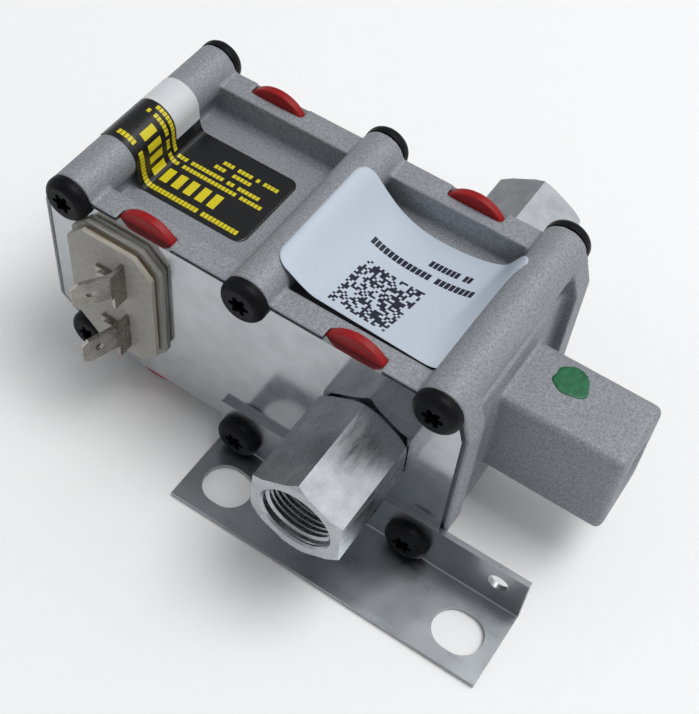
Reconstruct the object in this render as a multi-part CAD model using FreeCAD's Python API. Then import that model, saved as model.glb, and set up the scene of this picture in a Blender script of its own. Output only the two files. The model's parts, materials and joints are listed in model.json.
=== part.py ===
import FreeCAD, Part
import math
import os

# Double gas safety valve with two heater-wound bimetal arms in one cast body.
# Working frame: X along the body (low values at the terminal end), Y from the front
# cover's outer face into the body, Z up, with X = Z = 0 on the axis of the left column
# and the lower row of cover screws.  The last section moves everything to the row
# frame, whose origin is the centre of the bracket's slots on the bracket's underside.
# All lengths are millimetres, all angles degrees.

# --- Cover screw pattern ---------------------------------------------------------
column_pitch = 40.5
row_pitch = 43.5
low_corner_inset = 1.8
low_corner_raise = 4.4
screw_shank_r = 2.05
screw_length = 12.0
screw_head_r = 4.75
screw_head_h = 2.7
screw_head_rim = 0.5
screw_flat_r = 3.4
socket_core_r = 1.45
socket_lobe_r = 0.55
socket_lobe_pitch_r = 1.65
socket_depth = 1.9
thread_gap = 0.05

# --- Covers and body depth -------------------------------------------------------
cover_t = 1.2
body_depth = 43.4
cover_margin_left = 5.8
cover_margin_right = 5.3
cover_bottom = 0.9
cover_chamfer_x = 1.9
cover_chamfer_z = 6.2
low_chamfer_x = 11.0
low_chamfer_z = 9.0
lobe_r = 3.7
lobe_gap = 0.2
rim_w = 0.9
rim_h = 0.7
rim_gap_side = 0.6
rim_gap_top = 0.2
rim_setback = 0.1

# --- Cast body -------------------------------------------------------------------
flange_t = 4.6
pocket_depth = 6.6
side_recess = 2.4
rib_half_w = 3.2
tube_r = 4.7
chamber_wall = 3.5
chamber_corner_x = 9.5
chamber_corner_z = 7.6
rib_sink = 1.4
flange_round = 0.5

# --- Inlet boss ------------------------------------------------------------------
inlet_reach = 25.5
inlet_offset_y = 1.8
inlet_drop = 2.05
inlet_wall = 2.4
inlet_boss_h = 23.4
inlet_boss_round = 1.6
inlet_thread_r = 5.9
inlet_thread_depth = 15.0
inlet_passage_r = 4.4
inlet_chamfer = 0.9

# --- Cover seals -----------------------------------------------------------------
seal_t = 1.9
seal_w = 2.6
seal_lap = 0.2
seal_gap = 0.15
ear_shift = -0.85
ear_offset = 23.05
ear_r = 7.4
ear_stand = 2.7
ear_round = 0.45

# --- Outlet fittings -------------------------------------------------------------
fitting_from_last_column = 13.8
fitting_rise = 0.85
hex_across_flats = 19.05
hex_length = 22.2
hex_chamfer = 1.1
hex_washer_r = 8.9
hex_washer_h = 0.4
outlet_thread_r = 7.3
outlet_thread_depth = 14.0
outlet_mouth_chamfer = 0.35
outlet_mouth_depth = 0.5
outlet_passage_r = 2.6
drill_cone_depth = 3.4
fitting_neck_r = 6.4
nozzle_r = 4.2
nozzle_reach = 5.6
retainer_r = 9.6
retainer_t = 2.0
fit_gap = 0.05

# --- Bimetal arms ----------------------------------------------------------------
arm_w = 7.2
arm_t = 0.7
disc_r = 5.4
disc_t = 2.0
seat_gap = 0.04
rivet_r = 1.3
rivet_head_r = 2.4
rivet_head_t = 0.8
arm_pivot_from_pin = 7.4
arm_tip_over = 7.0
mica_start = 8.0
mica_length = 24.0
mica_t = 0.3
coil_wire_r = 0.45
coil_turns = 11
coil_end_margin = 1.2
foot_length = 6.0
bracket_sheet_t = 1.0
leaf_length = 2.85
leaf_gap = 0.15

# --- Terminals -------------------------------------------------------------------
gasket_margin_left = 5.8
gasket_w = 21.2
gasket_head_gap = 0.48
gasket_margin_low = 6.9
gasket_low_gap = 0.2
gasket_corner = 4.0
board_t = 1.0
board_inset = 0.5
spacer_t = 1.0
spacer_inset = 1.0
gasket_t = 1.0
terminal_set_x = 13.6
terminal_rise = 13.8
terminal_pitch = 15.4
terminal_lean = {"upper": 33.0, "lower": 19.0}
rear_terminal_lean = 70.0
blade_w = 6.35
blade_t = 0.8
blade_length = 8.0
blade_hole_r = 0.95
blade_corner = 1.5
root_reach = 3.4
root_h = 9.8
tab_foot_length = 6.0
tab_foot_h = 5.0
pin_r = 1.2
pin_head_r = 2.1
pin_head_t = 0.6
pin_drop = 6.6
pin_set_x = 3.6
bushing_r = 2.2
bushing_flange_r = 3.1
bushing_flange_t = 0.8
bushing_reach = 1.4
lead_r = 0.45
lead_gap = 0.6

# --- Mounting bracket ------------------------------------------------------------
bracket_t = 1.2
bracket_before_column = 5.0
bracket_length = 71.1
bracket_top = 7.4
bracket_base_depth = 17.05
bracket_bend_r = 0.35
bracket_screw_clear = 0.05
bracket_hole_r = 2.35
slot_w = 9.2
slot_length = 10.6
slot_spacing = 54.8
slot_from_end = 8.3
slot_setback = 7.75
side_hole_r = 2.25
side_hole_from_end = 5.8
side_hole_z = 2.4

# --- Labels and paint ------------------------------------------------------------
label_t = 0.12
label_gap = 0.03
warning_from_column = 10.9
warning_front_gap = 7.6
warning_rear_gap = 7.1
warning_wrap = 4.5
id_front_gap = 0.7
id_rear_gap = 3.1
id_label_wrap = 1.2
paint_r = 4.0
paint_t = 0.06
paint_from_end = 16.8
paint_offset_y = 2.7

# --- Derived places --------------------------------------------------------------
cover_left = -cover_margin_left
cover_right = 2 * column_pitch + cover_margin_right
cover_top = row_pitch
depth_mid = cover_t + body_depth / 2.0
rear_face = 2 * depth_mid
flange_y0 = rim_setback
flange_y1 = cover_t + flange_t - rim_setback
ledge_top = cover_top + rim_h
ledge_bottom = cover_bottom - rim_h
core_top = ledge_top - pocket_depth
core_bottom = ledge_bottom + pocket_depth
core_left = cover_left - rim_w - rim_gap_side + side_recess
core_right = cover_right + rim_w + rim_gap_side - side_recess
chamber_top = core_top - chamber_wall
chamber_bottom = core_bottom + chamber_wall
chamber_left = core_left + chamber_wall
chamber_right = core_right - chamber_wall
fitting_x = 2 * column_pitch - fitting_from_last_column
fitting_z = row_pitch / 2.0 + fitting_rise
outlet_mouth_r = outlet_thread_r + outlet_mouth_chamfer
inlet_end_x = cover_right + inlet_reach
inlet_boss_y = depth_mid + inlet_offset_y
inlet_boss_z = row_pitch / 2.0 - inlet_drop
inlet_boss_w = 2 * (inlet_thread_r + inlet_wall)
gasket_x0 = cover_left + gasket_margin_left
gasket_x1 = gasket_x0 + gasket_w
head_reach_low = math.sqrt(2.0) * (screw_head_r + gasket_low_gap)
head_reach_high = math.sqrt(2.0) * (screw_head_r + gasket_head_gap)
gasket_z0 = cover_bottom + gasket_margin_low
gasket_z1 = row_pitch + gasket_x0 + gasket_corner - head_reach_high
gasket_low_corner = low_corner_inset + low_corner_raise + head_reach_low - gasket_x0 - gasket_z0
terminal_x = gasket_x0 + terminal_set_x
terminal_tops = {
    "upper": fitting_z + terminal_rise,
    "lower": fitting_z + terminal_rise - terminal_pitch,
}
pin_x = terminal_x - pin_set_x
arm_pivot_x = pin_x + arm_pivot_from_pin
bracket_x0 = column_pitch - bracket_before_column
bracket_x1 = bracket_x0 + bracket_length
slot_first_x = bracket_x0 + slot_from_end
side_hole_x = bracket_x1 - side_hole_from_end
paint_x = inlet_end_x - paint_from_end
base_top = -screw_head_r - bracket_bend_r - bracket_screw_clear
base_underside = base_top - bracket_t
base_front = -bracket_t - bracket_base_depth
slot_y = base_front + slot_setback
row_origin = FreeCAD.Vector(slot_first_x + slot_spacing / 2.0, slot_y, base_underside)
screw_sites = [
    (low_corner_inset, low_corner_raise),
    (column_pitch, 0.0),
    (2 * column_pitch, 0.0),
    (0.0, row_pitch),
    (column_pitch, row_pitch),
    (2 * column_pitch, row_pitch),
]
bracket_sites = screw_sites[1:3]
cover_only_sites = [screw_sites[0]] + screw_sites[3:]
ear_centres = [
    (column_pitch + ear_shift + side * ear_offset, z)
    for side in (-1, 1)
    for z in (ledge_top + ear_stand - ear_r, ledge_bottom - ear_stand + ear_r)
]
seat_y = nozzle_reach
arm_y0 = seat_y + seat_gap + disc_t
arm_y1 = arm_y0 + arm_t
board_y0 = -(gasket_t + spacer_t + board_t)

X = FreeCAD.Vector(1, 0, 0)
Y = FreeCAD.Vector(0, 1, 0)
Z = FreeCAD.Vector(0, 0, 1)


# --- Shape helpers ---------------------------------------------------------------
def block(x0, x1, y0, y1, z0, z1):
    """Box between two corners."""
    return Part.makeBox(x1 - x0, y1 - y0, z1 - z0, FreeCAD.Vector(x0, y0, z0))


def round_block(x0, x1, y0, y1, z0, z1, radius):
    """Box with every edge rounded."""
    solid = block(x0, x1, y0, y1, z0, z1)
    return solid.makeFillet(radius, solid.Edges)


def rod_y(x, z, radius, y0, y1):
    """Cylinder along Y."""
    return Part.makeCylinder(radius, y1 - y0, FreeCAD.Vector(x, y0, z), Y)


def rod_x(y, z, radius, x0, x1):
    """Cylinder along X."""
    return Part.makeCylinder(radius, x1 - x0, FreeCAD.Vector(x0, y, z), X)


def rod_z(x, y, radius, z0, z1):
    """Cylinder along Z."""
    return Part.makeCylinder(radius, z1 - z0, FreeCAD.Vector(x, y, z0), Z)


def cone_y(x, z, r0, r1, y0, y1):
    """Cone along Y with radius r0 at y0 and r1 at y1."""
    return Part.makeCone(r0, r1, y1 - y0, FreeCAD.Vector(x, y0, z), Y)


def slab_y(points, y0, y1):
    """Prism of an X-Z outline between two Y planes."""
    corners = [FreeCAD.Vector(x, y0, z) for x, z in points]
    face = Part.Face(Part.makePolygon(corners + corners[:1]))
    return face.extrude(FreeCAD.Vector(0, y1 - y0, 0))


def fuse(shapes):
    """One shape from many, with shared faces merged."""
    shapes = list(shapes)
    return shapes[0].fuse(shapes[1:]).removeSplitter() if len(shapes) > 1 else shapes[0]


def edges_along(shape, direction):
    """Straight edges parallel to a direction."""
    found = []
    for edge in shape.Edges:
        run = edge.lastVertex().Point - edge.firstVertex().Point
        if edge.Curve.TypeId == "Part::GeomLine" and abs(abs(run.dot(direction)) / run.Length - 1) < 1e-6:
            found.append(edge)
    return found


def round_edges(shape):
    """Full circular edges of a shape."""
    return [edge for edge in shape.Edges if edge.Curve.TypeId == "Part::GeomCircle"]


# --- Outlines --------------------------------------------------------------------
def cover_outline(grow_x, grow_z):
    """Cover outline in X-Z, grown outwards by the given amounts."""
    left = cover_left - grow_x
    right = cover_right + grow_x
    bottom = cover_bottom - grow_z
    top = cover_top + grow_z
    return [
        (left + low_chamfer_x, bottom),
        (right - cover_chamfer_x, bottom),
        (right, bottom + cover_chamfer_z),
        (right, top - cover_chamfer_z),
        (right - cover_chamfer_x, top),
        (left + cover_chamfer_x, top),
        (left, top - cover_chamfer_z),
        (left, bottom + low_chamfer_z),
    ]


def chamber_outline(grow):
    """Gas chamber outline in X-Z, grown outwards by a wall or a lip."""
    left = chamber_left - grow
    right = chamber_right + grow
    bottom = chamber_bottom - grow
    top = chamber_top + grow
    return [
        (left + chamber_corner_x, bottom),
        (right, bottom),
        (right, top),
        (left, top),
        (left, bottom + chamber_corner_z),
    ]


# --- Cast body -------------------------------------------------------------------
def make_flange(y0, y1):
    """One end flange of the body: the cover's outline with a rim round it."""
    grow_x = rim_gap_side + rim_w
    solid = slab_y(cover_outline(grow_x, rim_h), y0, y1)
    return solid.makeFillet(flange_round, edges_along(solid, Y))


def make_seal_outline(gap, y0, y1):
    """Seal outline with its four ears, grown by a gap."""
    ring = slab_y(chamber_outline(seal_lap + seal_w + gap), y0, y1)
    ears = [rod_y(x, z, ear_r + gap, y0, y1) for x, z in ear_centres]
    if gap == 0.0:
        ears = [ear.makeFillet(ear_round, round_edges(ear)) for ear in ears]
    return fuse([ring] + ears)


def make_body():
    """Die-cast body: two flanges, a recessed core, six screw tubes and the inlet."""
    core = block(core_left, core_right, flange_y1 / 2, rear_face - flange_y1 / 2, core_bottom, core_top)
    flanges = [
        make_flange(flange_y0, flange_y1),
        make_flange(rear_face - flange_y1, rear_face - flange_y0),
    ]
    tubes = []
    for x, z in screw_sites:
        tubes.append(rod_y(x, z, tube_r, flange_y0, rear_face - flange_y0))
        toward_core = core_bottom + rib_sink if z < row_pitch / 2 else core_top - rib_sink
        low = min(z, toward_core)
        high = max(z, toward_core)
        tubes.append(block(x - rib_half_w, x + rib_half_w, flange_y1 / 2, rear_face - flange_y1 / 2, low, high))
    body = fuse([core] + flanges + tubes)
    inlet = round_block(
        core_right - 2 * inlet_boss_round, inlet_end_x,
        inlet_boss_y - inlet_boss_w / 2, inlet_boss_y + inlet_boss_w / 2,
        inlet_boss_z - inlet_boss_h / 2, inlet_boss_z + inlet_boss_h / 2,
        inlet_boss_round,
    )
    body = body.fuse(inlet).removeSplitter()
    return cut_body(body)


def cut_body(body):
    """Cuts the gas chamber, cover recesses, seal rebates, screw holes and inlet."""
    reach = 5.0
    chamber = slab_y(chamber_outline(0.0), -reach, rear_face + reach)
    cuts = []
    for front in (True, False):
        recess = [slab_y(cover_outline(rim_gap_side, rim_gap_top), -reach, cover_t)]
        recess += [rod_y(x, z, lobe_r + lobe_gap, -reach, cover_t) for x, z in screw_sites]
        recess += [rod_y(x, z, ear_r + seal_gap, -reach, cover_t) for x, z in ear_centres]
        recess.append(make_seal_outline(seal_gap, cover_t - 0.2, cover_t + seal_t))
        for x, z in screw_sites:
            recess.append(rod_y(x, z, screw_shank_r + thread_gap, -reach, cover_t + screw_length))
        cutter = fuse(recess)
        cuts.append(cutter if front else to_rear(cutter))
    body = body.cut(cuts)
    body = body.cut(chamber.cut(make_low_corner_guard()))
    bore = rod_x(inlet_boss_y, inlet_boss_z, inlet_thread_r, inlet_end_x - inlet_thread_depth, inlet_end_x + reach)
    passage = rod_x(inlet_boss_y, inlet_boss_z, inlet_passage_r, chamber_right - reach, inlet_end_x)
    mouth = Part.makeCone(
        inlet_thread_r, inlet_thread_r + inlet_chamfer, inlet_chamfer,
        FreeCAD.Vector(inlet_end_x - inlet_chamfer, inlet_boss_y, inlet_boss_z), X,
    )
    return body.cut([bore, passage, mouth])


def make_low_corner_guard():
    """Metal kept round the raised low screw where it nears the chamber."""
    return rod_y(low_corner_inset, low_corner_raise, screw_shank_r + 2.0, cover_t, rear_face - cover_t)


def to_rear(shape):
    """Mirror image about the body's middle depth."""
    return shape.mirror(FreeCAD.Vector(0, depth_mid, 0), Y)


# --- Covers and seals ------------------------------------------------------------
def make_cover():
    """Front cover plate with screw lobes and holes for fitting and bushings."""
    lobes = [rod_y(x, z, lobe_r, 0, cover_t) for x, z in screw_sites]
    plate = fuse([slab_y(cover_outline(0.0, 0.0), 0, cover_t)] + lobes)
    holes = [rod_y(x, z, screw_shank_r + 3 * thread_gap, -1, cover_t + 1) for x, z in screw_sites]
    holes.append(rod_y(fitting_x, fitting_z, fitting_neck_r + fit_gap, -1, cover_t + 1))
    for x, z in pin_sites():
        holes.append(rod_y(x, z, bushing_r + fit_gap, -1, cover_t + 1))
    return plate.cut(holes)


def make_seal():
    """Silicone seal ring between cover and body, with four ears."""
    outline = make_seal_outline(0.0, cover_t, cover_t + seal_t)
    opening = slab_y(chamber_outline(seal_lap), cover_t - 1, cover_t + seal_t + 1)
    return outline.cut(opening)


# --- Outlet fitting --------------------------------------------------------------
def hexagon(across_flats):
    """Hexagon outline about the fitting axis with two flats standing upright."""
    corner_r = across_flats / math.sqrt(3.0)
    return [
        (
            fitting_x + corner_r * math.sin(math.radians(60.0 * k)),
            fitting_z + corner_r * math.cos(math.radians(60.0 * k)),
        )
        for k in range(6)
    ]


def make_fitting():
    """Hexagonal outlet fitting with a threaded socket and an inner seat nozzle."""
    corner_r = hex_across_flats / math.sqrt(3.0)
    hex_end = -hex_washer_h
    slope = hex_chamfer / 2
    hexagonal = slab_y(hexagon(hex_across_flats), -hex_length, hex_end)
    turned = fuse([
        cone_y(fitting_x, fitting_z, corner_r - hex_chamfer, corner_r, -hex_length, -hex_length + slope),
        rod_y(fitting_x, fitting_z, corner_r, -hex_length + slope, hex_end - slope),
        cone_y(fitting_x, fitting_z, corner_r, corner_r - hex_chamfer, hex_end - slope, hex_end),
    ])
    washer_face = rod_y(fitting_x, fitting_z, hex_washer_r, hex_end - slope, 0)
    neck = rod_y(fitting_x, fitting_z, fitting_neck_r, -1, cover_t + retainer_t)
    nozzle = cone_y(fitting_x, fitting_z, fitting_neck_r, nozzle_r, cover_t + retainer_t, nozzle_reach)
    solid = fuse([hexagonal.common(turned), washer_face, neck, nozzle])
    thread_end = -hex_length + outlet_thread_depth
    socket = rod_y(fitting_x, fitting_z, outlet_thread_r, -hex_length - 1, thread_end)
    drill = cone_y(fitting_x, fitting_z, outlet_thread_r, outlet_passage_r, thread_end, thread_end + drill_cone_depth)
    passage = rod_y(fitting_x, fitting_z, outlet_passage_r, thread_end, nozzle_reach + 1)
    mouth = cone_y(
        fitting_x, fitting_z, outlet_mouth_r, outlet_thread_r,
        -hex_length, -hex_length + outlet_mouth_depth,
    )
    return solid.cut([socket, drill, passage, mouth])


def make_retainer():
    """Round nut that holds the fitting on the inside of the cover."""
    ring = rod_y(fitting_x, fitting_z, retainer_r, cover_t, cover_t + retainer_t)
    spanner_flats = [
        block(fitting_x + side * retainer_r - 1, fitting_x + side * retainer_r + 1,
              cover_t - 1, cover_t + retainer_t + 1, fitting_z - retainer_r, fitting_z + retainer_r)
        for side in (-1, 1)
    ]
    hole = rod_y(fitting_x, fitting_z, fitting_neck_r + fit_gap, cover_t - 1, cover_t + retainer_t + 1)
    return ring.cut(spanner_flats + [hole])


# --- Bimetal arm -----------------------------------------------------------------
def make_arm():
    """Bimetal strip from the pivot to just past the disc, with a rounded tip."""
    half_w = arm_w / 2.0
    tip_x = fitting_x + arm_tip_over
    strip = block(arm_pivot_x, tip_x - half_w, arm_y0, arm_y1, fitting_z - half_w, fitting_z + half_w)
    tip = rod_y(tip_x - half_w, fitting_z, half_w, arm_y0, arm_y1)
    hole = rod_y(fitting_x, fitting_z, rivet_r + fit_gap, arm_y0 - 1, arm_y1 + 1)
    return fuse([strip, tip]).cut(hole)


def make_disc():
    """Rubber disc that closes the nozzle."""
    disc = rod_y(fitting_x, fitting_z, disc_r, seat_y + seat_gap, arm_y0)
    hole = rod_y(fitting_x, fitting_z, rivet_r + fit_gap, seat_y, arm_y0 + 1)
    return disc.cut(hole)


def make_disc_rivet():
    """Rivet that holds the disc on the arm; its head lies inside the nozzle bore."""
    shank = rod_y(fitting_x, fitting_z, rivet_r, seat_y + seat_gap - rivet_head_t / 2, arm_y1 + fit_gap)
    inner = rod_y(fitting_x, fitting_z, rivet_head_r, arm_y1 + fit_gap, arm_y1 + fit_gap + rivet_head_t)
    head_r = outlet_passage_r - 0.5
    outer = rod_y(
        fitting_x, fitting_z, head_r,
        seat_y + seat_gap - fit_gap - rivet_head_t / 2, seat_y + seat_gap - fit_gap,
    )
    return fuse([shank, inner, outer])


def coil_span():
    """Low and high X of the mica sleeve."""
    return arm_pivot_x + mica_start, arm_pivot_x + mica_start + mica_length


def sleeve_ring(x0, x1, inner, outer):
    """Rectangular tube round the arm between two clearances from the strip."""
    half_w = arm_w / 2.0
    shell = block(x0, x1, arm_y0 - outer, arm_y1 + outer, fitting_z - half_w - outer, fitting_z + half_w + outer)
    bore = block(x0 - 1, x1 + 1, arm_y0 - inner, arm_y1 + inner, fitting_z - half_w - inner, fitting_z + half_w + inner)
    return shell.cut(bore)


def make_mica():
    """Mica sleeve that insulates the heater from the arm."""
    x0, x1 = coil_span()
    return sleeve_ring(x0, x1, fit_gap, fit_gap + mica_t)


def make_coil():
    """Flat resistance wire turns round the mica sleeve."""
    x0, x1 = coil_span()
    pitch = (x1 - x0 - 2 * coil_end_margin) / (coil_turns - 1)
    inner = 2 * fit_gap + mica_t
    turns = []
    for k in range(coil_turns):
        middle = x0 + coil_end_margin + k * pitch
        turns.append(sleeve_ring(middle - coil_wire_r, middle + coil_wire_r, inner, inner + coil_wire_r))
    return Part.makeCompound(turns)


def make_arm_bracket():
    """Folded steel bracket that stands off the cover and carries the arm."""
    half_w = arm_w / 2.0
    post_x1 = arm_pivot_x - leaf_gap
    post_x0 = post_x1 - leaf_length - bracket_sheet_t
    foot = block(post_x0 - foot_length, post_x0 + bracket_sheet_t, cover_t, cover_t + bracket_sheet_t,
                 fitting_z - half_w, fitting_z + half_w)
    post = block(post_x0, post_x0 + bracket_sheet_t, cover_t, arm_y1, fitting_z - half_w, fitting_z + half_w)
    leaf = block(post_x0, post_x1, arm_y1 - bracket_sheet_t, arm_y1, fitting_z - half_w, fitting_z + half_w)
    return fuse([foot, post, leaf])


# --- Terminal board and terminals ------------------------------------------------
def octagon(inset):
    """Gasket outline drawn inwards by an inset; its cut corners clear the screw heads."""
    x0 = gasket_x0 + inset
    x1 = gasket_x1 - inset
    z0 = gasket_z0 + inset
    z1 = gasket_z1 - inset
    c = gasket_corner
    low = gasket_low_corner
    return [
        (x0 + low, z0), (x1 - c, z0), (x1, z0 + c), (x1, z1 - c),
        (x1 - c, z1), (x0 + c, z1), (x0, z1 - c), (x0, z0 + low),
    ]


def pin_sites():
    """Places of the two pins that carry current through the cover."""
    return [(pin_x, terminal_tops[name] - pin_drop) for name in ("upper", "lower")]


def board_layer(inset, y0, y1):
    """One layer of the terminal board with its bushing holes."""
    layer = slab_y(octagon(inset), y0, y1)
    return layer.cut([rod_y(x, z, bushing_r + fit_gap, y0 - 1, y1 + 1) for x, z in pin_sites()])


def make_board():
    """Outer board, drilled only for the pins."""
    y1 = board_y0 + board_t
    layer = slab_y(octagon(board_inset), board_y0, y1)
    return layer.cut([rod_y(x, z, pin_r + fit_gap, board_y0 - 1, y1 + 1) for x, z in pin_sites()])


def make_terminal(name, lean):
    """Quarter-inch blade on an upright root, with a foot under its pin."""
    top = terminal_tops[name]
    y_board = board_y0
    pin_z = top - pin_drop
    foot = block(terminal_x - tab_foot_length, terminal_x + blade_t, y_board - blade_t, y_board,
                 pin_z - tab_foot_h / 2, pin_z + tab_foot_h / 2)
    root = block(terminal_x, terminal_x + blade_t, y_board - root_reach, y_board, top - root_h, top)
    corner = FreeCAD.Vector(terminal_x, y_board - root_reach, top)
    bend = rod_z(terminal_x + blade_t, y_board - root_reach, blade_t, top - blade_w, top)
    bend = bend.common(block(terminal_x - 1, terminal_x + blade_t, y_board - root_reach - blade_t - 1,
                             y_board - root_reach + 0.01, top - blade_w, top))
    blade = make_blade(top)
    blade.rotate(FreeCAD.Vector(corner.x + blade_t, corner.y, 0), Z, -lean)
    solid = fuse([foot, root, bend, blade])
    return solid.cut(rod_y(pin_x, pin_z, pin_r + fit_gap, y_board - 2, y_board + 1))


def make_rear_terminal(name):
    """Rear terminal, turned over about its pin, with its blade bent close to the board."""
    pin_z = terminal_tops[name] - pin_drop
    turned = make_terminal(name, rear_terminal_lean).mirror(FreeCAD.Vector(0, 0, pin_z), Z)
    return to_rear(turned)


def make_blade(top):
    """Straight blade with cut tip corners and a locking hole, before it leans."""
    y_start = board_y0 - root_reach
    outline = [
        (y_start, top),
        (y_start - blade_length + blade_corner, top),
        (y_start - blade_length, top - blade_corner * 0.6),
        (y_start - blade_length, top - blade_w + blade_corner * 0.6),
        (y_start - blade_length + blade_corner, top - blade_w),
        (y_start, top - blade_w),
    ]
    corners = [FreeCAD.Vector(terminal_x, y, z) for y, z in outline]
    face = Part.Face(Part.makePolygon(corners + corners[:1]))
    blade = face.extrude(FreeCAD.Vector(blade_t, 0, 0))
    hole = rod_x(y_start - blade_length * 0.55, top - blade_w / 2, blade_hole_r, terminal_x - 1, terminal_x + 2)
    return blade.cut(hole)


def make_terminal_rivets():
    """Two pins through board and cover, headed on the terminal's foot."""
    pins = []
    outer_y = board_y0 - blade_t
    inner_y = cover_t + bushing_reach + bushing_flange_t
    for x, z in pin_sites():
        head = rod_y(x, z, pin_head_r, outer_y - pin_head_t, outer_y)
        shank = rod_y(x, z, pin_r, outer_y, inner_y + pin_head_t)
        inner = rod_y(x, z, pin_head_r, inner_y, inner_y + pin_head_t)
        pins.append(fuse([head, shank, inner]))
    return Part.makeCompound(pins)


def make_bushings():
    """Two insulating bushings round the pins, flanged inside the cover."""
    bushings = []
    for x, z in pin_sites():
        sleeve = rod_y(x, z, bushing_r, board_y0 + board_t, cover_t + bushing_reach)
        flange = rod_y(x, z, bushing_flange_r, cover_t, cover_t + bushing_reach + bushing_flange_t)
        bore = rod_y(x, z, pin_r + fit_gap, board_y0, cover_t + bushing_reach + bushing_flange_t + 1)
        bushings.append(fuse([sleeve, flange]).cut(bore))
    return Part.makeCompound(bushings)


def lead_path(points, radius, bend):
    """Round wire along straight runs with a tangent arc at each inner point."""
    vectors = [FreeCAD.Vector(*p) for p in points]
    edges = []
    start = vectors[0]
    for before, corner, after in zip(vectors, vectors[1:], vectors[2:]):
        into = (corner - before).normalize()
        out = (after - corner).normalize()
        half_turn = math.acos(max(-1.0, min(1.0, into.dot(out)))) / 2.0
        cut = bend * math.tan(half_turn)
        arc_start = corner - into * cut
        arc_end = corner + out * cut
        toward_centre = (out - into).normalize()
        centre = corner + toward_centre * (bend / math.cos(half_turn))
        arc_mid = centre - toward_centre * bend
        edges.append(Part.LineSegment(start, arc_start).toShape())
        edges.append(Part.Arc(arc_start, arc_mid, arc_end).toShape())
        start = arc_end
    edges.append(Part.LineSegment(start, vectors[-1]).toShape())
    wire = Part.Wire(edges)
    direction = (vectors[1] - vectors[0]).normalize()
    section = Part.Wire([Part.makeCircle(radius, vectors[0], direction)])
    return wire.makePipeShell([section], True, False)


def make_leads():
    """Two nickel leads from the pins to the ends of the heater coil."""
    x0, x1 = coil_span()
    start_y = cover_t + bushing_reach + bushing_flange_t + pin_head_t
    run_y = arm_y0 - 1.2
    half_w = arm_w / 2.0
    (ux, uz), (lx, lz) = pin_sites()
    high_z = fitting_z + half_w + lead_gap + 3 * coil_wire_r + lead_r
    low_z = fitting_z - half_w - lead_gap - 3 * coil_wire_r - lead_r
    bend = 0.9
    upper = [(ux, start_y, uz), (ux, run_y, uz), (x0 + 1.5, run_y, high_z), (x0 + 1.5, arm_y1, high_z)]
    lower = [(lx, start_y, lz), (lx, run_y, lz), (x1 - 1.5, run_y, low_z), (x1 - 1.5, arm_y1, low_z)]
    return Part.makeCompound([lead_path(upper, lead_r, bend), lead_path(lower, lead_r, bend)])


# --- Screws ----------------------------------------------------------------------
def make_head(x, z, seat):
    """Domed screw head with a short rim and a flat front, standing in front of its seat."""
    rim_y = seat - screw_head_rim
    flat_y = seat - screw_head_h
    bulge = math.sqrt(0.5)
    rim_corner = FreeCAD.Vector(x + screw_head_r, rim_y, z)
    flat_corner = FreeCAD.Vector(x + screw_flat_r, flat_y, z)
    middle = FreeCAD.Vector(
        x + screw_flat_r + bulge * (screw_head_r - screw_flat_r), rim_y - bulge * (rim_y - flat_y), z,
    )
    straight = Part.makePolygon([
        flat_corner, FreeCAD.Vector(x, flat_y, z), FreeCAD.Vector(x, seat, z),
        FreeCAD.Vector(x + screw_head_r, seat, z), rim_corner,
    ])
    dome = Part.Arc(rim_corner, middle, flat_corner).toShape()
    section = Part.Face(Part.Wire(straight.Edges + [dome]))
    return section.revolve(FreeCAD.Vector(x, seat, z), Y, 360)


def make_screw(x, z, seat):
    """Button-head screw with a six-lobe socket."""
    head = make_head(x, z, seat)
    shank = rod_y(x, z, screw_shank_r, seat, cover_t + screw_length - 0.5)
    lobes = [rod_y(x, z, socket_core_r, seat - screw_head_h - 1, seat - screw_head_h + socket_depth)]
    for k in range(6):
        turn = math.radians(60 * k)
        lobes.append(rod_y(
            x + socket_lobe_pitch_r * math.cos(turn), z + socket_lobe_pitch_r * math.sin(turn),
            socket_lobe_r, seat - screw_head_h - 1, seat - screw_head_h + socket_depth,
        ))
    return fuse([head, shank]).cut(fuse(lobes))


def make_screws(sites, seat):
    """Group of identical screws."""
    return Part.makeCompound([make_screw(x, z, seat) for x, z in sites])


# --- Mounting bracket ------------------------------------------------------------
def make_bracket():
    """Galvanised angle: an upright behind the low screws and a slotted base."""
    outer_r = bracket_bend_r + bracket_t
    upright = block(bracket_x0, bracket_x1, -bracket_t, 0, base_underside + outer_r, bracket_top)
    base = block(bracket_x0, bracket_x1, base_front, -outer_r, base_underside, base_top)
    elbow = rod_x(-outer_r, base_underside + outer_r, outer_r, bracket_x0, bracket_x1)
    elbow = elbow.cut(rod_x(-outer_r, base_underside + outer_r, bracket_bend_r, bracket_x0 - 1, bracket_x1 + 1))
    elbow = elbow.common(block(bracket_x0, bracket_x1, -outer_r, 0, base_underside, base_underside + outer_r))
    angle = fuse([upright, base, elbow])
    cuts = [rod_y(x, z, bracket_hole_r, -bracket_t - 1, 1) for x, z in bracket_sites]
    cuts.append(rod_y(side_hole_x, side_hole_z, side_hole_r, -bracket_t - 1, 1))
    straight = (slot_length - slot_w) / 2.0
    for k in range(2):
        x = slot_first_x + k * slot_spacing
        z0 = base_underside - 1
        z1 = base_top + 1
        cuts.append(fuse([
            block(x - straight, x + straight, slot_y - slot_w / 2, slot_y + slot_w / 2, z0, z1),
            rod_z(x - straight, slot_y, slot_w / 2, z0, z1),
            rod_z(x + straight, slot_y, slot_w / 2, z0, z1),
        ]))
    return angle.cut(cuts)


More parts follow.
